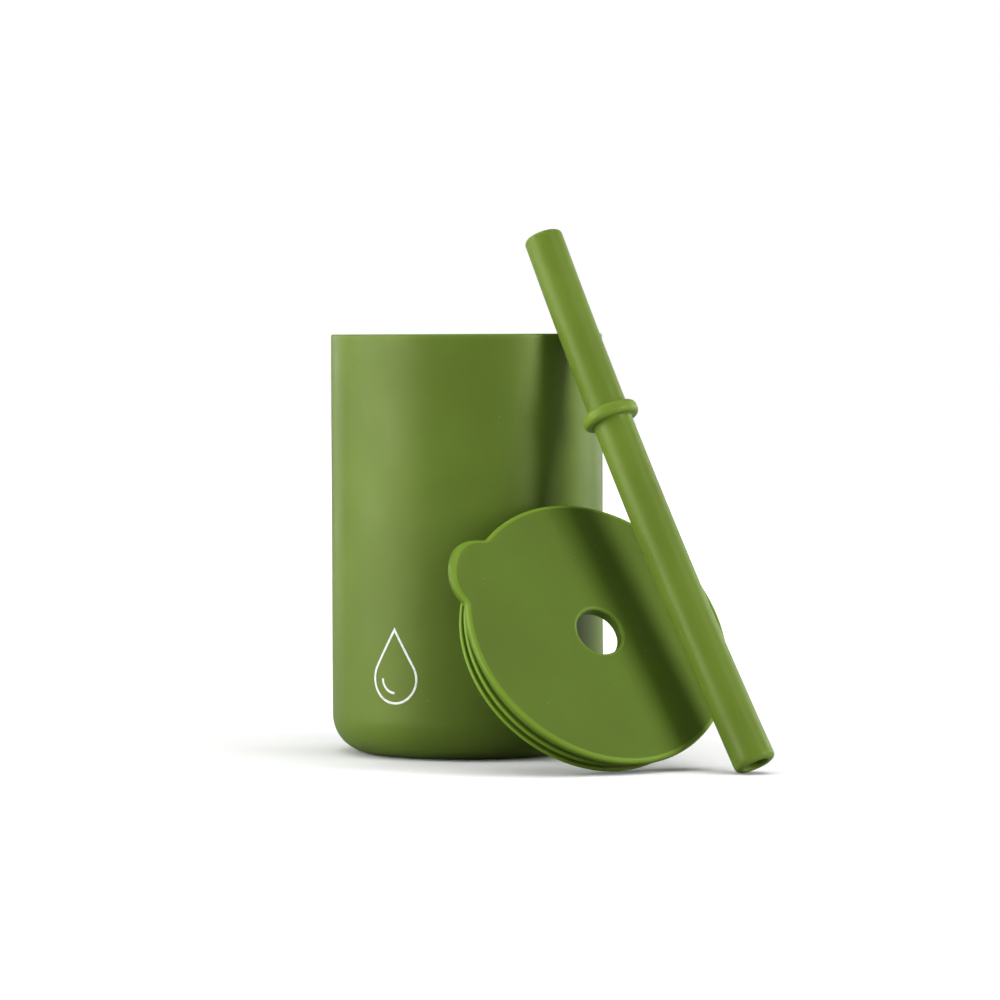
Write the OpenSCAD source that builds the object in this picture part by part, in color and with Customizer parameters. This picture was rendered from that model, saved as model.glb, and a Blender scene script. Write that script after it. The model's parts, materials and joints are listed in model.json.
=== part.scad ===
// Child's straw cup: a soft one-colour cup, its flat lid and its drinking straw, taken apart.
// The cup stands upright, the lid leans on the cup's wall and the straw leans over its rim.
// +Z is up, -Y is the front, and the origin is the centre of the cup's base. Millimetres.

/* [Cup] */
// Outside diameter of the cup
cup_d = 68; // [60:0.5:80]
// Height of the cup
cup_h = 104.5; // [90:0.5:120]
// Thickness of the cup's wall
cup_wall = 2; // [1.5:0.1:3]
// Thickness of the cup's floor
cup_floor = 3; // [2:0.1:5]
// Outside radius where the wall turns into the base
cup_corner_r = 9.5; // [6:0.5:14]
// Rounding of both edges of the rim
rim_r = 0.5; // [0.2:0.1:0.7]

/* [Printed mark] */
// Radius of the round end of the drop
drop_r = 6.3; // [4:0.1:6.5]
// Width of the printed line
line_w = 0.6; // [0.4:0.1:1]
// Thickness of the ink
ink_t = 0.05; // [0.03:0.01:0.1]
// Height of the mark's centre above the base
mark_z = 23.3; // [22:0.1:60]
// Turn of the mark from the front, negative to the left
mark_turn = -31.4; // [-60:0.1:60]

/* [Lid] */
// Overhang of the lid's plate beyond the cup's wall
lid_overhang = 1; // [0:0.1:1.5]
// Thickness of the lid's plate
plate_t = 1.85; // [1.5:0.05:3]
// Rounding of the plate's upper edge
plate_edge_r = 0.95; // [0.3:0.05:1.1]
// Radius of the finger tab's round end
tab_r = 10.5; // [8:0.1:14]
// Reach of the finger tab beyond the plate's edge
tab_reach = 5.3; // [3:0.05:8]
// Radius of the inside corner between tab and plate
tab_blend_r = 2; // [1:1:3]
// Diameter of the straw's hole in the lid
hole_d = 12; // [10.5:0.1:13]
// Rounding of the hole's upper edge
hole_lip_r = 0.6; // [0.2:0.1:0.9]
// Height of the boss that deepens the hole's wall under the plate
boss_h = 1.25; // [0.5:0.05:2.5]
// Depth of the skirt under the plate's upper face
skirt_depth = 10.7; // [9:0.1:14]
// Thickness of the skirt's wall
skirt_t = 1.7; // [1.2:0.1:2.5]
// Squeeze of each sealing rib in the mouth of the cup, per side
rib_squeeze = 0.5; // [0.2:0.1:0.8]
// Height of one sealing rib
rib_h = 1.3; // [1:0.1:1.6]
// Distance between the two sealing ribs
rib_pitch = 2.6; // [2.2:0.1:3.2]

/* [Straw] */
// Length of the straw
straw_l = 143; // [120:1:170]
// Outside diameter at the lower end
straw_d_low = 10.3; // [9.5:0.1:11]
// Outside diameter at the drinking end
straw_d_top = 9.6; // [8.5:0.1:10.3]
// Diameter of the straw's bore
straw_bore = 6; // [5:0.1:6.5]
// Rounding of the outer edge of both ends
tip_r = 1.3; // [0.6:0.1:1.4]
// Rounding of the inner edge of both ends
tip_inner_r = 0.4; // [0.2:0.1:0.4]
// Distance of the stop collar's middle from the drinking end
collar_from_top = 49.3; // [35:0.1:60]
// Outside diameter of the stop collar
collar_d = 14; // [13.2:0.1:15]
// Height of the stop collar
collar_h = 3.3; // [2.6:0.1:4]
// Rounding of the stop collar's edges
collar_edge_r = 1.2; // [0.5:0.1:1.3]

/* [Arrangement] */
// Lean of the lid's face from upright
lid_lean = 31.1; // [20:0.1:45]
// Turn of the lid's face from the front, towards the right
lid_turn = 29.8; // [15:0.1:40]
// Bearing of the point where the lid touches the cup
lid_touch = -58.6; // [-65:0.1:-50]
// Turn of the finger tab within the lid's face
tab_turn = 148.5; // [120:0.5:175]
// Lean of the straw from upright
straw_lean = 27.8; // [20:0.1:32]
// Direction in which the straw leans
straw_turn = 138.1; // [130:0.1:150]
// Bearing of the point where the straw crosses the rim
straw_touch = -46; // [-52:0.1:-40]

/* [Hidden] */
$fn = 96;
silicone = [0.39, 0.49, 0.20];
ink = [0.96, 0.96, 0.94];
eps = 0.01;
gap = 0.3;                        // air left where two pieces lean on each other
straw_slack = 0.9;                // the soft straw sags this much closer to the rim
cup_r = cup_d / 2;
mouth_r = cup_r - cup_wall;
plate_r = cup_r + lid_overhang;
plate_low_r = 0.3;                // rounding of the plate's lower edge
hole_depth = plate_t + boss_h;
hole_low_r = 0.4;                 // rounding of the hole's lower edge
boss_r = hole_d / 2 + 2;
rib_r = mouth_r + rib_squeeze;
skirt_r = rib_r - 1.2;            // outside of the skirt's wall, behind the ribs
skirt_edge_r = 0.5;
rib_low = skirt_depth - 0.9;      // depth of the lower rib's middle
tab_centre = plate_r + tab_reach - tab_r;
// The blend's centre is blend_a from the lid's centre and blend_b from the tab's
blend_a = plate_r + tab_blend_r;
blend_b = tab_r + tab_blend_r;
blend_x = (pow(blend_a, 2) - pow(blend_b, 2) + pow(tab_centre, 2)) / (2 * tab_centre);
blend_y = sqrt(pow(blend_a, 2) - pow(blend_x, 2));
web_y = blend_y - 0.6;            // the web between plate and tab stops just inside the blend

// Lid: its lower rib stands on the floor and touches the cup's wall at lid_touch. The rib's
// crest is a round of radius crest_r swept along a circle of radius ring_r
face = [cos(lid_lean) * sin(lid_turn), -cos(lid_lean) * cos(lid_turn), sin(lid_lean)];
across = [cos(lid_turn), sin(lid_turn), 0];
uphill = cross(face, across);
out = [cos(lid_touch), sin(lid_touch), 0];
towards = (out * across) * across + (out * uphill) * uphill;
crest_r = rib_h / 2;
ring_r = rib_r - crest_r;
rib_centre = (cup_r + gap + crest_r) * out + ring_r * towards / norm(towards);
rib_height = ring_r * cos(lid_lean) + crest_r + eps;
lid_x = rib_centre[0] + rib_low * face[0];
lid_y = rib_centre[1] + rib_low * face[1];
lid_z = rib_height + rib_low * face[2];

// Straw: its lower end stands on the floor and its side passes the rim at straw_touch
along = [sin(straw_lean) * cos(straw_turn), sin(straw_lean) * sin(straw_turn), cos(straw_lean)];
rim_dir = [cos(straw_touch), sin(straw_touch), 0];
rim_side = [-sin(straw_touch), cos(straw_touch), 0];
away = cross(rim_side, along) / norm(cross(rim_side, along));
straw_off = straw_d_low / 2 + straw_slack;
pass_point = cup_r * rim_dir + [0, 0, cup_h] + straw_off * away;
straw_z = tip_r + (straw_d_low / 2 - tip_r) * sin(straw_lean) - tip_r * cos(straw_lean) + eps;
straw_foot = pass_point - along * (pass_point[2] - straw_z) / along[2];

// The waste outside a quarter round of radius r, at a corner that points to +X +Y
module corner_waste(r) {
    translate([-r, -r]) difference() {
        square(r + eps);
        circle(r);
    }
}

// Half section of the cup, from its axis to its wall
module cup_section() {
    inner_corner_r = cup_corner_r - cup_wall;
    difference() {
        square([cup_r, cup_h]);
        translate([cup_r, 0]) mirror([0, 1]) corner_waste(cup_corner_r);
        translate([cup_r, cup_h]) corner_waste(rim_r);
        translate([mouth_r, cup_h]) mirror([1, 0]) corner_waste(rim_r);
        difference() {
            translate([-1, cup_floor]) square([mouth_r + 1, cup_h]);
            translate([mouth_r, cup_floor]) mirror([0, 1]) corner_waste(inner_corner_r);
        }
    }
}

module cup() {
    color(silicone) rotate_extrude() cup_section();
}

// A drop of round-end radius r: the point is 2r above the round end's centre
module drop(r) {
    circle(r);
    polygon([[0, 2 * r], [-r * cos(30), r / 2], [r * cos(30), r / 2]]);
}

// The printed line work, with its middle at the origin
module mark_outline() {
    glint_r = drop_r * 0.6;
    translate([0, -drop_r / 2]) {
        difference() {
            drop(drop_r);
            drop(drop_r - line_w);
        }
        intersection() {
            difference() {
                circle(glint_r);
                circle(glint_r - line_w);
            }
            rotate(180) square([2 * glint_r, 2 * glint_r]);
        }
    }
}

module printed_mark() {
    color(ink) rotate([0, 0, mark_turn]) intersection() {
        difference() {
            cylinder(r = cup_r + ink_t, h = cup_h);
            translate([0, 0, -1]) cylinder(r = cup_r, h = cup_h + 2);
        }
        translate([0, 0, mark_z]) rotate([90, 0, 0]) linear_extrude(cup_r + 1) mark_outline();
    }
}

// Half section of a disc of radius r with the plate's thickness and edges, upper face at 0
module plate_section(r) {
    difference() {
        translate([0, -plate_t]) square([r, plate_t]);
        translate([r, 0]) corner_waste(plate_edge_r);
        translate([r, -plate_t]) mirror([0, 1]) corner_waste(plate_low_r);
    }
}

// What the blend beside the tab leaves out: a round post, flared where the plate's edges turn over
module blend_waste() {
    rotate_extrude() {
        translate([0, -plate_t - eps]) square([tab_blend_r, plate_t + 2 * eps]);
        translate([tab_blend_r, 0]) mirror([1, 0]) corner_waste(plate_edge_r);
        translate([tab_blend_r, -plate_t]) rotate(180) corner_waste(plate_low_r);
    }
}

// The web that fills the two inside corners, from within the plate to within the tab
module web() {
    corner = [blend_x, web_y];
    plate_side = corner * 0.6;
    tab_side = [tab_centre, 0] + (corner - [tab_centre, 0]) * 0.3;
    half = [plate_side, corner, tab_side];
    mirrored = [for (i = [2, 1, 0]) [half[i][0], -half[i][1]]];
    translate([0, 0, -plate_t]) linear_extrude(plate_t) polygon(concat(half, mirrored));
}

module plate_with_tab() {
    rotate([0, 0, tab_turn]) difference() {
        union() {
            rotate_extrude() plate_section(plate_r);
            translate([tab_centre, 0, 0]) rotate_extrude() plate_section(tab_r);
            web();
        }
        for (side = [-1, 1]) translate([blend_x, side * blend_y, 0]) blend_waste();
    }
}

// Half section of the skirt with its two sealing ribs, which have round crests
module skirt_section() {
    difference() {
        translate([skirt_r - skirt_t, -skirt_depth]) square([skirt_t, skirt_depth - plate_t / 2]);
        translate([skirt_r, -skirt_depth]) mirror([0, 1]) corner_waste(skirt_edge_r);
        translate([skirt_r - skirt_t, -skirt_depth]) rotate(180) corner_waste(skirt_edge_r);
    }
    for (depth = [rib_low, rib_low - rib_pitch]) translate([ring_r, -depth]) {
        circle(crest_r);
        translate([-rib_h, -crest_r]) square([rib_h, rib_h]);
    }
}

// Half section of the boss round the straw's hole, before the hole is cut
module boss_section() {
    difference() {
        translate([0, -hole_depth]) square([boss_r, hole_depth - plate_t / 2]);
        translate([boss_r, -hole_depth]) mirror([0, 1]) corner_waste(hole_low_r);
    }
}

// Cutter for the straw's hole, flared where the hole's edges turn over
module hole_cutter() {
    hole_r = hole_d / 2;
    translate([0, 0, -hole_depth - 1]) cylinder(r = hole_r, h = hole_depth + 2);
    rotate_extrude() {
        translate([hole_r, 0]) mirror([1, 0]) corner_waste(hole_lip_r);
        translate([hole_r, -hole_depth]) rotate(180) corner_waste(hole_low_r);
    }
}

module lid() {
    color(silicone) translate([lid_x, lid_y, lid_z]) rotate([90 - lid_lean, 0, lid_turn])
    difference() {
        union() {
            plate_with_tab();
            rotate_extrude() skirt_section();
            rotate_extrude() boss_section();
        }
        hole_cutter();
    }
}

// Half section of the straw's wall with its stop collar, lower end at 0
module straw_section() {
    low_r = straw_d_low / 2;
    top_r = straw_d_top / 2;
    bore_r = straw_bore / 2;
    collar_z = straw_l - collar_from_top;
    difference() {
        polygon([
            [bore_r, 0], [low_r, 0], [low_r, tip_r],
            [top_r, straw_l - tip_r], [top_r, straw_l], [bore_r, straw_l]
        ]);
        translate([low_r, 0]) mirror([0, 1]) corner_waste(tip_r);
        translate([top_r, straw_l]) corner_waste(tip_r);
        translate([bore_r, straw_l]) mirror([1, 0]) corner_waste(tip_inner_r);
        translate([bore_r, 0]) rotate(180) corner_waste(tip_inner_r);
    }
    difference() {
        translate([top_r - 1, collar_z - collar_h / 2]) square([collar_d / 2 - top_r + 1, collar_h]);
        translate([collar_d / 2, collar_z + collar_h / 2]) corner_waste(collar_edge_r);
        translate([collar_d / 2, collar_z - collar_h / 2]) mirror([0, 1]) corner_waste(collar_edge_r);
    }
}

module straw() {
    color(silicone) translate(straw_foot) rotate([0, straw_lean, straw_turn])
    rotate_extrude() straw_section();
}

cup();
printed_mark();
lid();
straw();
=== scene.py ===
import json
import math

import bpy
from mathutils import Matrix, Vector


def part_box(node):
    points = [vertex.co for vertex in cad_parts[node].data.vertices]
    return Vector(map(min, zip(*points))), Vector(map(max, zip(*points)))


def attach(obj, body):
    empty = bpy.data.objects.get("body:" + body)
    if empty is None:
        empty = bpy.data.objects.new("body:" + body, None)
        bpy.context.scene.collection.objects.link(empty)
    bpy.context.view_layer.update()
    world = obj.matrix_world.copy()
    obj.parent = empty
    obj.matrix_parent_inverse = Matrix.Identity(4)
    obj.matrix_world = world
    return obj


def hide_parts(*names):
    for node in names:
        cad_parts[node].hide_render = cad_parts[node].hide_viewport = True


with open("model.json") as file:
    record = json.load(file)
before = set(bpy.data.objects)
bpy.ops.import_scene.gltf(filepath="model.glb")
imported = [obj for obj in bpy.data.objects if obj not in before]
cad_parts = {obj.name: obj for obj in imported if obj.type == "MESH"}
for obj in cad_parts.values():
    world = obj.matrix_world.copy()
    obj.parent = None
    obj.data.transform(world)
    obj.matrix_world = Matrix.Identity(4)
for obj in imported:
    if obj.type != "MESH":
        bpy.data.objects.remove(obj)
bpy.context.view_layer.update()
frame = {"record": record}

# ---------------------------------------------------------------- sizes, in metres
MM = 0.001
UP = Vector((0, 0, 1))
SIDES = 240                       # points round the cup and the straw

mounts = {m["name"]: m for m in frame["record"]["mounts"]}
cup_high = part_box("cup")[1]

CUP_R = cup_high.x
CUP_H = cup_high.z
MOUTH_R = mounts["mouth"]["dims"]["r_mm"] * MM
CUP_FLOOR = 3 * MM
CUP_CORNER_R = 9.5 * MM
CUP_RIM_R = 0.5 * MM
POLE_R = 1 * MM                   # innermost ring of the cup's base and floor

DROP_R = 6.3 * MM
LINE_W = 0.6 * MM
INK_T = 0.05 * MM
MARK_TURN = math.radians(-31.4)
MARK_Z = 23.3 * MM

PLATE_R = CUP_R + 1 * MM
PLATE_T = 1.85 * MM
PLATE_EDGE_R = 0.95 * MM
PLATE_LOW_R = 0.3 * MM
TAB_R = 10.5 * MM
TAB_REACH = 5.3 * MM
TAB_BLEND_R = 2 * MM
TAB_TURN = math.radians(148.5)
HOLE_R = mounts["straw_hole"]["dims"]["r_mm"] * MM
HOLE_LIP_R = 0.6 * MM
HOLE_LOW_R = 0.4 * MM
HOLE_WALL = mounts["straw_hole"]["dims"]["length_mm"] * MM
HOLE_DEPTH = HOLE_LIP_R + HOLE_WALL + HOLE_LOW_R
BOSS_R = HOLE_R + 2 * MM
BOSS_FILLET_R = 0.3 * MM          # where the boss meets the plate's underside
TAB_CURL = math.radians(32)       # the soft tab's tip curls up from the face by this much
CURL_L = 5.5 * MM                 # length of the tab that curls
SKIRT_DEPTH = 10.7 * MM
SKIRT_T = 1.7 * MM
SKIRT_EDGE_R = 0.5 * MM
SKIRT_FILLET_R = 0.8 * MM         # where the skirt's inside meets the plate's underside
RIB_R = MOUTH_R + 0.5 * MM
RIB_H = 1.3 * MM
RIB_PITCH = 2.6 * MM
RIB_LOW = SKIRT_DEPTH - 0.9 * MM
SKIRT_R = RIB_R - 1.2 * MM

STRAW_L = 143 * MM
STRAW_LOW_R = 5.15 * MM
STRAW_TOP_R = 4.8 * MM
STRAW_BORE_R = mounts["straw_bore"]["dims"]["r_mm"] * MM
STRAW_SAG = 1.5 * MM              # bow of the soft straw at its middle
STRAW_RISE = 0.18 * MM            # along the straw, so that its sagging foot stays on the floor
TIP_R = 1.3 * MM
TIP_INNER_R = 0.4 * MM
COLLAR_S = STRAW_L - 49.3 * MM
COLLAR_R = 7 * MM
COLLAR_H = 3.3 * MM
COLLAR_EDGE_R = 1.2 * MM


# ---------------------------------------------------------------- mesh helpers
def arc(centre, radius, start, end, steps):
    """Points along an arc in a profile, from angle start to angle end in degrees."""
    points = []
    for i in range(steps + 1):
        a = math.radians(start + (end - start) * i / steps)
        points.append((centre[0] + radius * math.cos(a), centre[1] + radius * math.sin(a)))
    return points


def line(start, end, steps):
    """Points along a straight stretch of a profile, without its two ends."""
    return [tuple(s + (e - s) * i / steps for s, e in zip(start, end)) for i in range(1, steps)]


def new_object(name, verts, faces):
    mesh = bpy.data.meshes.new(name)
    mesh.from_pydata([tuple(v) for v in verts], [], faces)
    mesh.validate()
    mesh.update()
    mesh.shade_smooth()
    obj = bpy.data.objects.new(name, mesh)
    bpy.context.scene.collection.objects.link(obj)
    return obj


def loft(name, rings, closed, caps=False):
    """A mesh through rings of equal count. closed joins the last ring to the first, caps close both ends."""
    count = len(rings[0])
    verts = [p for ring in rings for p in ring]
    faces = []
    for a in range(len(rings) if closed else len(rings) - 1):
        b = (a + 1) % len(rings)
        for i in range(count):
            j = (i + 1) % count
            faces.append((a * count + i, a * count + j, b * count + j, b * count + i))
    if caps:
        for ring, turn in ((0, -1), (len(rings) - 1, 1)):
            centre = len(verts)
            verts.append(sum((Vector(p) for p in rings[ring]), Vector()) / count)
            for i in range(count):
                edge = (ring * count + i, ring * count + (i + 1) % count)
                faces.append((*edge[::turn], centre))
    return new_object(name, verts, faces)


def set_edge_glow_and_rubbing(obj, values):
    """Stores how exposed each vertex is, from 0 on a face to 1 on an edge, for the material's painted edge
    glow and highlight and its slight rubbing.
    """
    layer = obj.data.attributes.new("edge", "FLOAT", "POINT")
    layer.data.foreach_set("value", values)


def soften(x, y, z):
    """The slight unevenness of a soft moulding, within about 0.1 mm."""
    wave = math.sin(61 * x + 23 * z + 0.7) * math.sin(47 * y - 31 * z + 1.9)
    return 0.07 * MM * (wave + 0.5 * math.sin(97 * z + 40 * x - 58 * y))


# ---------------------------------------------------------------- cup
def cup_profile():
    """Radius and height along the cup's section, from under the base to the middle of its floor."""
    corner = (CUP_R - CUP_CORNER_R, CUP_CORNER_R)
    inner_r = CUP_CORNER_R - (CUP_R - MOUTH_R)
    inner = (MOUTH_R - inner_r, CUP_FLOOR + inner_r)
    rim_z = CUP_H - CUP_RIM_R
    points = [(POLE_R, 0)] + line((POLE_R, 0), (corner[0], 0), 8)
    points += arc(corner, CUP_CORNER_R, -90, 0, 24)
    points += line((CUP_R, CUP_CORNER_R), (CUP_R, rim_z), 70)
    points += arc((CUP_R - CUP_RIM_R, rim_z), CUP_RIM_R, 0, 90, 6)
    points += arc((MOUTH_R + CUP_RIM_R, rim_z), CUP_RIM_R, 90, 180, 6)
    points += line((MOUTH_R, rim_z), (MOUTH_R, inner[1]), 60)
    points += arc(inner, inner_r, 0, -90, 16)
    points += line((inner[0], CUP_FLOOR), (POLE_R, CUP_FLOOR), 8) + [(POLE_R, CUP_FLOOR)]
    return points


def cup_point(turn, r, z):
    """A point of the cup at that bearing from the front, counted to the right."""
    x, y = math.sin(turn), -math.cos(turn)
    give = soften(x * CUP_R, y * CUP_R, z) * min(1, r / CUP_R) * min(1, z / CUP_CORNER_R)
    return Vector((x * (r + give), y * (r + give), z))


def make_cup():
    profile = cup_profile()
    turns = [math.tau * i / SIDES for i in range(SIDES)]
    obj = loft("cup_body", [[cup_point(t, r, z) for t in turns] for r, z in profile], False, caps=True)
    # Painted edge glow and highlight on the rim, with slight rubbing: the top 1.2 mm is lightened.
    rim_glow_and_rubbing, rim_depth = 0.2, 1.2 * MM
    rim = [rim_glow_and_rubbing * max(0, 1 - (CUP_H - z) / rim_depth) for _, z in profile for _ in turns]
    set_edge_glow_and_rubbing(obj, rim + [0, 0])
    return obj


# ---------------------------------------------------------------- printed mark
def drop_outline(r):
    """A drop with round end r: the long arc, then its two straight sides up to the point."""
    points = arc((0, 0), r, 150, 390, 80)
    tip = (0, 2 * r)
    return points + line(points[-1], tip, 14) + [tip] + line(tip, points[0], 14)


def ink_strip(name, outer, inner, closed):
    """A printed line between two outlines, wrapped on the cup as a thin raised film."""
    def wrap(point, lift):
        u, v = point
        return cup_point(MARK_TURN + u / CUP_R, CUP_R + lift, MARK_Z + v - DROP_R / 2)

    sunk = -0.02 * MM
    shoulder = INK_T * 0.6
    rings = []
    for a, b in zip(outer, inner):
        middle = [tuple(p + (q - p) * k for p, q in zip(a, b)) for k in (0.12, 0.5, 0.88)]
        ring = [wrap(a, sunk), wrap(a, shoulder)]
        ring += [wrap(m, INK_T) for m in middle]
        ring += [wrap(b, shoulder), wrap(b, sunk)]
        rings.append(ring[::-1])
    return loft(name, rings, closed, caps=not closed)


def make_mark():
    """The outline of a drop, and a quarter-round glint inside it."""
    glint_r = DROP_R * 0.6
    outline = ink_strip("mark_outline", drop_outline(DROP_R), drop_outline(DROP_R - LINE_W), True)
    glint = ink_strip("mark_glint", arc((0, 0), glint_r, 180, 270, 24),
                      arc((0, 0), glint_r - LINE_W, 180, 270, 24), False)
    return [outline, glint]


# ---------------------------------------------------------------- lid
def lid_frame():
    """The centre of the lid's face, the directions across and up it, and its normal."""
    hole = mounts["straw_hole"]
    normal = Vector(hole["axis"]).normalized()
    across = UP.cross(normal).normalized()
    centre = Vector(hole["pos_m"]) + normal * (HOLE_LIP_R + HOLE_WALL / 2)
    return centre, across, normal.cross(across), normal


def plate_outline():
    """Points and outward directions round the plate and its tab, with the tab along +X."""
    tab_x = PLATE_R + TAB_REACH - TAB_R
    a, b = PLATE_R + TAB_BLEND_R, TAB_R + TAB_BLEND_R
    blend_x = (a * a - b * b + tab_x * tab_x) / (2 * tab_x)
    blend_y = math.sqrt(a * a - blend_x * blend_x)
    on_plate = math.degrees(math.atan2(blend_y, blend_x))
    on_tab = math.degrees(math.atan2(blend_y, blend_x - tab_x))
    arcs = [
        ((0, 0), PLATE_R, on_plate, 360 - on_plate, 300),
        ((blend_x, -blend_y), -TAB_BLEND_R, -on_plate, -on_tab, 12),
        ((tab_x, 0), TAB_R, -on_tab, on_tab, 90),
        ((blend_x, blend_y), -TAB_BLEND_R, on_tab, on_plate, 12),
    ]
    outline = []
    for (x, y), r, start, end, steps in arcs:
        for i in range(steps):
            t = math.radians(start + (end - start) * i / steps)
            outward = (math.cos(t), math.sin(t))
            outline.append(((x + r * outward[0], y + r * outward[1]), outward))
    return outline


def edge_profile():
    """Inset and depth along the plate's edge, from its face to its underside."""
    over = [(PLATE_EDGE_R - r, z - PLATE_EDGE_R) for r, z in arc((0, 0), PLATE_EDGE_R, 90, 0, 10)]
    under_z = PLATE_LOW_R - PLATE_T
    under = [(PLATE_LOW_R - r, under_z + z) for r, z in arc((0, 0), PLATE_LOW_R, 0, -90, 4)]
    return over + line(over[-1], under[0], 3) + under


def skirt_profile():
    """Radius and depth down the skirt's outside, over its two ribs, and up its inside."""
    crest = RIB_H / 2
    inside_r = SKIRT_R - SKIRT_T
    points = [(SKIRT_R + 0.3 * MM, -PLATE_T)]
    points += line((SKIRT_R, -PLATE_T), (SKIRT_R, -(RIB_LOW - RIB_PITCH - crest)), 6)
    for depth in (RIB_LOW - RIB_PITCH, RIB_LOW):
        points += [(SKIRT_R, -(depth - crest))]
        points += arc((RIB_R - crest, -depth), crest, 90, -90, 14)
        points += [(SKIRT_R, -(depth + crest))]
    bottom = SKIRT_EDGE_R - SKIRT_DEPTH
    top = -PLATE_T - SKIRT_FILLET_R
    points += arc((SKIRT_R - SKIRT_EDGE_R, bottom), SKIRT_EDGE_R, 0, -90, 6)
    points += arc((inside_r + SKIRT_EDGE_R, bottom), SKIRT_EDGE_R, -90, -180, 6)
    points += line((inside_r, bottom), (inside_r, top), 10)
    points += arc((inside_r - SKIRT_FILLET_R, top), SKIRT_FILLET_R, 0, 90, 6)
    return points


def hole_profile():
    """Radius and depth down the boss under the plate, then up the hole's wall to its lip."""
    low = HOLE_LOW_R - HOLE_DEPTH
    points = arc((BOSS_R + BOSS_FILLET_R, -PLATE_T - BOSS_FILLET_R), BOSS_FILLET_R, 90, 180, 4)
    points += arc((BOSS_R - HOLE_LOW_R, low), HOLE_LOW_R, 0, -90, 5)
    points += arc((HOLE_R + HOLE_LOW_R, low), HOLE_LOW_R, 270, 180, 5)
    points += line((HOLE_R, low), (HOLE_R, -HOLE_LIP_R), 6)
    return points + arc((HOLE_R + HOLE_LIP_R, -HOLE_LIP_R), HOLE_LIP_R, 180, 90, 6)


def curl(x, z):
    """Bends what lies past the start of the tab's curl forwards, along a circle."""
    start = PLATE_R + TAB_REACH - CURL_L
    if x <= start:
        return x, z
    bend_r = CURL_L / TAB_CURL
    turn = (x - start) / bend_r
    return start + (bend_r - z) * math.sin(turn), bend_r - (bend_r - z) * math.cos(turn)


def make_lid():
    """One closed skin: the face, the plate's edge, the skirt, the underside, the boss and the hole."""
    origin, across, uphill, normal = lid_frame()
    outline = plate_outline()

    def place(x, y, z):
        x, z = curl(x, z)
        x, y = (x * math.cos(TAB_TURN) - y * math.sin(TAB_TURN),
                x * math.sin(TAB_TURN) + y * math.cos(TAB_TURN))
        point = origin + across * x + uphill * y + normal * z
        return point + normal * soften(x, y, 0) * 1.5

    def circle(r, z):
        """A ring of the plate's point count, with its points in the outline's own directions."""
        ring = []
        for (x, y), _ in outline:
            k = r / math.hypot(x, y)
            ring.append(place(x * k, y * k, z))
        return ring

    def between(k):
        """A ring on the face, from the hole's lip at 0 to the rounded edge at 1."""
        ring = []
        for (x, y), (ox, oy) in outline:
            ex, ey = x - ox * PLATE_EDGE_R, y - oy * PLATE_EDGE_R
            h = (HOLE_R + HOLE_LIP_R) / math.hypot(x, y)
            ring.append(place(x * h + (ex - x * h) * k, y * h + (ey - y * h) * k, 0))
        return ring

    # Each ring carries a painted edge glow and highlight, with slight rubbing: the plate's rounded edge, the
    # rib crests and the hole's lip are lightened.
    rings, edge_glow_and_rubbing = [], []

    def add(ring, value=0.0):
        rings.append(ring)
        edge_glow_and_rubbing.append(value)

    for k in [0.01] + [i / 26 for i in range(1, 26)] + [0.992]:
        add(between(k))
    for inset, depth in edge_profile():
        add([place(x - ox * inset, y - oy * inset, depth) for (x, y), (ox, oy) in outline],
            max(0, 1 - abs(depth + 0.3 * MM) / (0.9 * MM)))
    for r, z in skirt_profile():
        add(circle(r, z), 0.8 if r > RIB_R - 0.25 * MM else 0)
    flat_outer, flat_inner = SKIRT_R - SKIRT_T - SKIRT_FILLET_R, BOSS_R + BOSS_FILLET_R
    for i in range(1, 20):
        add(circle(flat_outer + (flat_inner - flat_outer) * i / 20, -PLATE_T))
    for r, z in hole_profile():
        add(circle(r, z), 0.4 if z > -0.5 * MM else 0)

    obj = loft("lid_body", rings[::-1], True)
    set_edge_glow_and_rubbing(obj, [w for w in edge_glow_and_rubbing[::-1] for _ in outline])
    return obj


# ---------------------------------------------------------------- straw
def straw_profile():
    """Radius and distance from the foot: over the foot's lip, up the outside, down the bore."""
    def taper(s):
        return STRAW_LOW_R + (STRAW_TOP_R - STRAW_LOW_R) * s / STRAW_L

    # The tube runs into the collar over a fillet with one point in it
    fillet, near, lift = 0.25 * MM, 0.05 * MM, 0.12 * MM
    below, above = COLLAR_S - COLLAR_H / 2, COLLAR_S + COLLAR_H / 2
    points = arc((STRAW_BORE_R + TIP_INNER_R, TIP_INNER_R), TIP_INNER_R, 180, 270, 5)
    points += arc((STRAW_LOW_R - TIP_R, TIP_R), TIP_R, 270, 360, 10)
    points += line((STRAW_LOW_R, TIP_R), (taper(below), below), 60)
    points += [(taper(below), below - fillet), (taper(below) + lift, below - near)]
    points += arc((COLLAR_R - COLLAR_EDGE_R, below + COLLAR_EDGE_R), COLLAR_EDGE_R, 270, 360, 10)
    points += arc((COLLAR_R - COLLAR_EDGE_R, above - COLLAR_EDGE_R), COLLAR_EDGE_R, 0, 90, 10)
    points += [(taper(above) + lift, above + near), (taper(above), above + fillet)]
    points += line((taper(above), above), (STRAW_TOP_R, STRAW_L - TIP_R), 36)
    points += arc((STRAW_TOP_R - TIP_R, STRAW_L - TIP_R), TIP_R, 0, 90, 10)
    points += arc((STRAW_BORE_R + TIP_INNER_R, STRAW_L - TIP_INNER_R), TIP_INNER_R, 90, 180, 5)
    points += line((STRAW_BORE_R, STRAW_L - TIP_INNER_R), (STRAW_BORE_R, TIP_INNER_R), 60)
    return points


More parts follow.
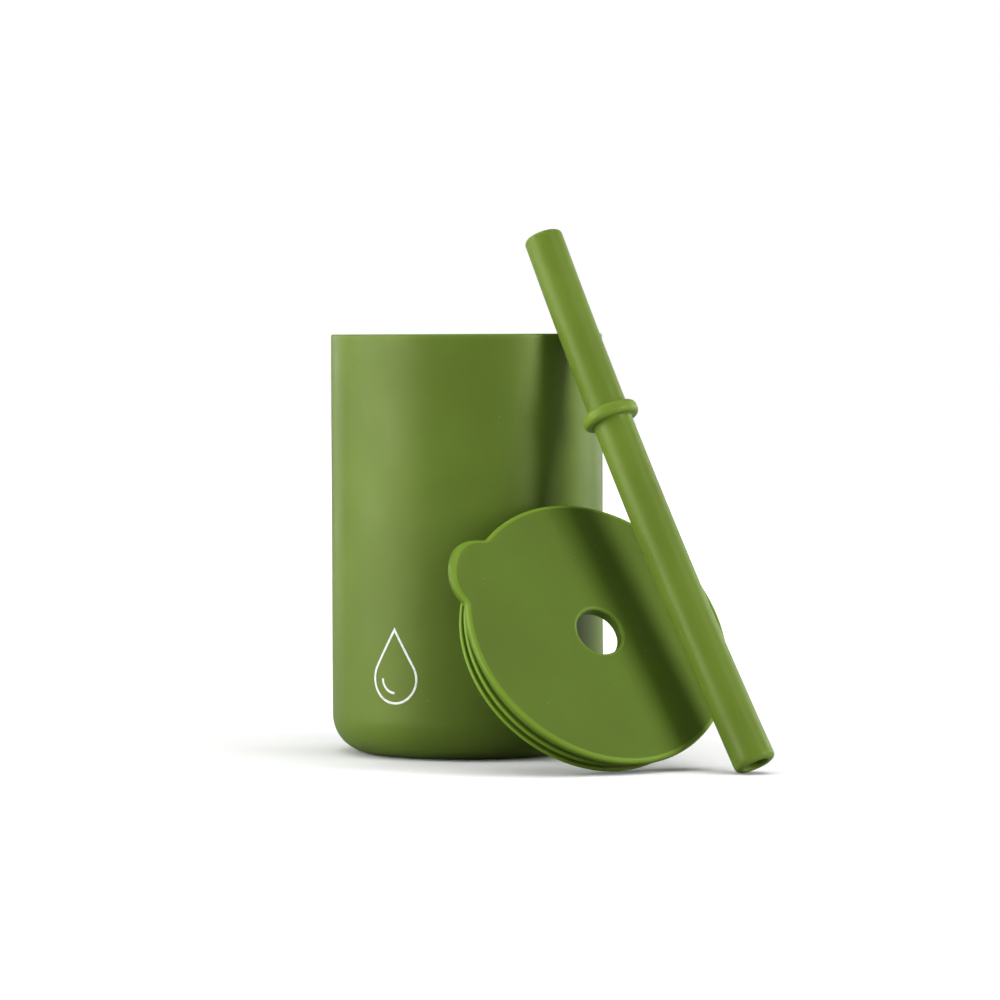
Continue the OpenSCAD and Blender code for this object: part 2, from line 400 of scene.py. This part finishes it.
def make_straw():
    """The tube, standing on its foot and bowed downwards."""
    bore = mounts["straw_bore"]
    along = Vector(bore["axis"]).normalized()
    foot = Vector(bore["pos_m"]) - along * (STRAW_L / 2 - STRAW_RISE)
    side = along.cross(UP).normalized()
    down = along.cross(side).normalized()
    if down.z > 0:
        down = -down

    def ring(r, s):
        t = s / STRAW_L
        middle = foot + along * s + down * STRAW_SAG * 4 * t * (1 - t)
        slope = STRAW_SAG * 4 * (1 - 2 * t) / STRAW_L
        across = (down - along * slope).normalized()
        turns = [math.tau * i / SIDES for i in range(SIDES)]
        return [middle + (side * math.cos(a) + across * math.sin(a)) * r for a in turns]

    profile = straw_profile()
    obj = loft("straw_tube", [ring(r, s) for r, s in profile], True)
    # Painted edge glow and highlight, with slight rubbing: the collar and the two ends are lightened.
    edge_glow_and_rubbing = []
    for r, s in profile:
        on_collar = r > COLLAR_R - 0.5 * MM
        at_end = min(s, STRAW_L - s) < 0.6 * MM
        edge_glow_and_rubbing.append(0.25 if on_collar else 0.15 if at_end else 0)
    set_edge_glow_and_rubbing(obj, [w for w in edge_glow_and_rubbing for _ in range(SIDES)])
    return obj


# ---------------------------------------------------------------- materials
def silicone(name, colour, roughness, grain, depth=2 * MM):
    """Matte moulded silicone: a fine-grained skin, soft cloudy variation, a little lint, and lighter edges
    from painted edge glow and highlight with slight rubbing.
    """
    mat = bpy.data.materials.new(name)
    mat.use_nodes = True
    tree = mat.node_tree
    make, link = tree.nodes.new, tree.links.new
    bsdf = tree.nodes["Principled BSDF"]
    place = make("ShaderNodeTexCoord").outputs["Object"]

    def noise(scale, detail, rough=0.5):
        n = make("ShaderNodeTexNoise")
        n.inputs["Scale"].default_value = scale
        n.inputs["Detail"].default_value = detail
        n.inputs["Roughness"].default_value = rough
        link(place, n.inputs["Vector"])
        return n.outputs["Fac"]

    def spread(value, low, high, to_low, to_high):
        n = make("ShaderNodeMapRange")
        for key, v in (("From Min", low), ("From Max", high), ("To Min", to_low), ("To Max", to_high)):
            n.inputs[key].default_value = v
        link(value, n.inputs["Value"])
        return n.outputs["Result"]

    def mix(factor, a, b):
        n = make("ShaderNodeMix")
        n.data_type = "RGBA"
        link(factor, n.inputs["Factor"])
        for socket, v in ((n.inputs[6], a), (n.inputs[7], b)):
            if isinstance(v, bpy.types.NodeSocket):
                link(v, socket)
            else:
                socket.default_value = (*v, 1)
        return n.outputs[2]

    dark = [c * 0.90 for c in colour]
    light = [c * 1.10 for c in colour]
    clouds = mix(spread(noise(28, 3), 0.3, 0.7, 0, 1), dark, light)

    # Painted edge glow and highlight, with slight rubbing: the 'edge' values lighten the colour up to 0.8 of
    # the way to 2.1 times itself.
    edge = make("ShaderNodeAttribute")
    edge.attribute_name = "edge"
    edge_glow_and_rubbing_tone = mix(spread(edge.outputs["Fac"], 0, 1, 0, 0.8), clouds, [c * 2.1 for c in colour])

    lint = make("ShaderNodeTexVoronoi")
    lint.inputs["Scale"].default_value = 420
    link(place, lint.inputs["Vector"])
    specks = spread(lint.outputs["Distance"], 0.05, 0.09, 1, 0)
    rare = spread(noise(150, 1), 0.66, 0.70, 0, 0.5)
    both = make("ShaderNodeMath")
    both.operation = "MULTIPLY"
    link(specks, both.inputs[0])
    link(rare, both.inputs[1])
    link(mix(both.outputs[0], edge_glow_and_rubbing_tone, (0.45, 0.47, 0.36)), bsdf.inputs["Base Color"])

    smudge = noise(75, 4, 0.6)
    link(spread(smudge, 0.3, 0.7, roughness - 0.05, roughness + 0.06), bsdf.inputs["Roughness"])

    skin = make("ShaderNodeBump")
    skin.inputs["Strength"].default_value = grain
    skin.inputs["Distance"].default_value = 0.04 * MM
    link(noise(2600, 3, 0.6), skin.inputs["Height"])
    link(skin.outputs["Normal"], bsdf.inputs["Normal"])

    bsdf.inputs["Subsurface Weight"].default_value = 0.5
    bsdf.inputs["Subsurface Radius"].default_value = (0.8, 1.0, 0.3)
    bsdf.inputs["Subsurface Scale"].default_value = depth
    bsdf.inputs["Specular Tint"].default_value = (0.60, 0.66, 0.34, 1)
    bsdf.inputs["IOR"].default_value = 1.38
    return mat


def printed_ink():
    """White screen-printed ink with a slightly uneven film."""
    mat = bpy.data.materials.new("printed_ink")
    mat.use_nodes = True
    tree = mat.node_tree
    bsdf = tree.nodes["Principled BSDF"]
    place = tree.nodes.new("ShaderNodeTexCoord").outputs["Object"]
    film = tree.nodes.new("ShaderNodeTexNoise")
    film.inputs["Scale"].default_value = 900
    film.inputs["Detail"].default_value = 4
    tree.links.new(place, film.inputs["Vector"])
    ramp = tree.nodes.new("ShaderNodeValToRGB")
    ramp.color_ramp.elements[0].position = 0.30
    ramp.color_ramp.elements[0].color = (0.62, 0.66, 0.55, 1)
    ramp.color_ramp.elements[1].position = 0.52
    ramp.color_ramp.elements[1].color = (0.90, 0.91, 0.88, 1)
    tree.links.new(film.outputs["Fac"], ramp.inputs["Fac"])
    tree.links.new(ramp.outputs["Color"], bsdf.inputs["Base Color"])
    bump = tree.nodes.new("ShaderNodeBump")
    bump.inputs["Strength"].default_value = 0.3
    bump.inputs["Distance"].default_value = 0.02 * MM
    tree.links.new(film.outputs["Fac"], bump.inputs["Height"])
    tree.links.new(bump.outputs["Normal"], bsdf.inputs["Normal"])
    bsdf.inputs["Roughness"].default_value = 0.55
    return mat


def floor_material():
    """A pale studio floor. It shows white, and throws less light back up than a white floor would.
    Beyond the lit middle it glows a little more with distance, as a lit backdrop would."""
    mat = bpy.data.materials.new("studio_floor")
    mat.use_nodes = True
    tree = mat.node_tree
    tree.nodes.clear()
    make, link = tree.nodes.new, tree.links.new
    path = make("ShaderNodeLightPath").outputs["Is Camera Ray"]

    shades = []
    for shade in (0.22, 0.77):
        diffuse = make("ShaderNodeBsdfDiffuse")
        diffuse.inputs["Color"].default_value = (shade, shade, shade, 1)
        shades.append(diffuse.outputs["BSDF"])
    surface = make("ShaderNodeMixShader")
    link(path, surface.inputs["Fac"])
    link(shades[0], surface.inputs[1])
    link(shades[1], surface.inputs[2])

    place = make("ShaderNodeTexCoord").outputs["Object"]
    away = make("ShaderNodeVectorMath")
    away.operation = "LENGTH"
    link(place, away.inputs[0])
    rise = make("ShaderNodeMapRange")
    rise.interpolation_type = "SMOOTHSTEP"
    rise.inputs["From Min"].default_value = 0.12
    rise.inputs["From Max"].default_value = 0.75
    link(away.outputs["Value"], rise.inputs["Value"])
    seen = make("ShaderNodeMath")
    seen.operation = "MULTIPLY"
    link(rise.outputs["Result"], seen.inputs[0])
    link(path, seen.inputs[1])
    glow = make("ShaderNodeEmission")
    glow.inputs["Color"].default_value = (1, 1, 1, 1)
    link(seen.outputs[0], glow.inputs["Strength"])

    total = make("ShaderNodeAddShader")
    link(surface.outputs["Shader"], total.inputs[0])
    link(glow.outputs["Emission"], total.inputs[1])
    link(total.outputs["Shader"], make("ShaderNodeOutputMaterial").inputs["Surface"])
    return mat


# ---------------------------------------------------------------- studio
def make_camera():
    """Level with the cup's rim, straight in front and a little to the right of its axis."""
    data = bpy.data.cameras.new("camera")
    data.sensor_width = 36
    data.lens = 164.9
    data.shift_y = -0.1662
    camera = bpy.data.objects.new("camera", data)
    bpy.context.scene.collection.objects.link(camera)
    camera.location = (8.44 * MM, -1.150, CUP_H)
    camera.rotation_euler = (math.radians(90), math.radians(0.26), 0)
    bpy.context.scene.camera = camera


def softbox(name, bearing, height, distance, size, watts):
    """A soft light aimed at the object, at a bearing from the front (right positive) and an elevation."""
    bearing, height = math.radians(bearing), math.radians(height)
    away = Vector((math.sin(bearing) * math.cos(height), -math.cos(bearing) * math.cos(height),
                   math.sin(height)))
    data = bpy.data.lights.new(name, "AREA")
    data.shape = "RECTANGLE"
    data.size, data.size_y = size
    data.energy = watts
    lamp = bpy.data.objects.new(name, data)
    bpy.context.scene.collection.objects.link(lamp)
    lamp.location = Vector((0, 0, CUP_H / 2)) + away * distance
    lamp.rotation_euler = (-away).to_track_quat("-Z", "Y").to_euler()
    return lamp


def make_world():
    """White all round for the camera, and a dimmer white surround as the fill light."""
    world = bpy.data.worlds.new("studio")
    bpy.context.scene.world = world
    world.use_nodes = True
    tree = world.node_tree
    tree.nodes.clear()
    out = tree.nodes.new("ShaderNodeOutputWorld")
    both = tree.nodes.new("ShaderNodeMixShader")
    seen = tree.nodes.new("ShaderNodeBackground")
    fill = tree.nodes.new("ShaderNodeBackground")
    path = tree.nodes.new("ShaderNodeLightPath")
    seen.inputs["Strength"].default_value = 1.0
    seen.inputs["Color"].default_value = (1, 1, 1, 1)
    fill.inputs["Strength"].default_value = 0.2
    fill.inputs["Color"].default_value = (1, 1, 1, 1)
    tree.links.new(path.outputs["Is Camera Ray"], both.inputs["Fac"])
    tree.links.new(fill.outputs["Background"], both.inputs[1])
    tree.links.new(seen.outputs["Background"], both.inputs[2])
    tree.links.new(both.outputs["Shader"], out.inputs["Surface"])


def make_floor():
    """The floor, with a light of its own that evens out how bright it looks."""
    half = 4
    corners = [(-half, -half, 0), (half, -half, 0), (half, half, 0), (-half, half, 0)]
    floor = new_object("floor", corners, [(0, 1, 2, 3)])
    floor.data.materials.append(floor_material())
    wash = softbox("floor_wash", 0, 90, 1.3, (1.8, 1.8), 20)
    only = bpy.data.collections.new("floor_only")
    only.objects.link(floor)
    wash.light_linking.receiver_collection = only


# ---------------------------------------------------------------- the object
def dress(obj, body, material, slot, *nodes):
    """Gives a piece its material, the body it moves with, and the plain nodes it stands in for."""
    obj.data.materials.append(material)
    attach(obj, body)
    if nodes:
        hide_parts(*nodes)


dress(make_cup(), "cup", silicone("cup_silicone", (0.135, 0.204, 0.029), 0.36, 0.3), "cup_silicone", "cup")
dress(make_lid(), "lid", silicone("lid_silicone", (0.114, 0.186, 0.018), 0.38, 0.3), "lid_silicone", "lid")
dress(make_straw(), "straw", silicone("straw_silicone", (0.152, 0.230, 0.029), 0.35, 0.25, 4 * MM),
      "straw_silicone", "straw")
ink = printed_ink()
mark, glint = make_mark()
dress(mark, "cup", ink, "ink", "printed_mark")
dress(glint, "cup", ink, "ink")

make_camera()
make_floor()
make_world()
softbox("left_box", -59, 6, 1.0, (0.60, 0.45), 5.6)
softbox("left_high_box", -86, 30, 1.0, (0.40, 0.40), 4.9)
softbox("left_low_box", -80, 1, 1.0, (0.60, 0.16), 2.3)
softbox("left_back_box", -104, 5, 1.0, (0.40, 0.40), 0.8)
softbox("left_rear_box", -142, 6, 1.0, (0.36, 0.40), 0.45)
softbox("right_box", 60, 12, 1.0, (0.36, 0.60), 6.8)
softbox("right_high_box", 58, 50, 1.0, (0.40, 0.50), 1.6)
softbox("right_back_box", 118, 12, 1.0, (0.36, 0.60), 2.2)
softbox("right_rear_box", 150, 6, 1.0, (0.36, 0.40), 0.5)

bpy.context.scene.view_settings.view_transform = "Standard"
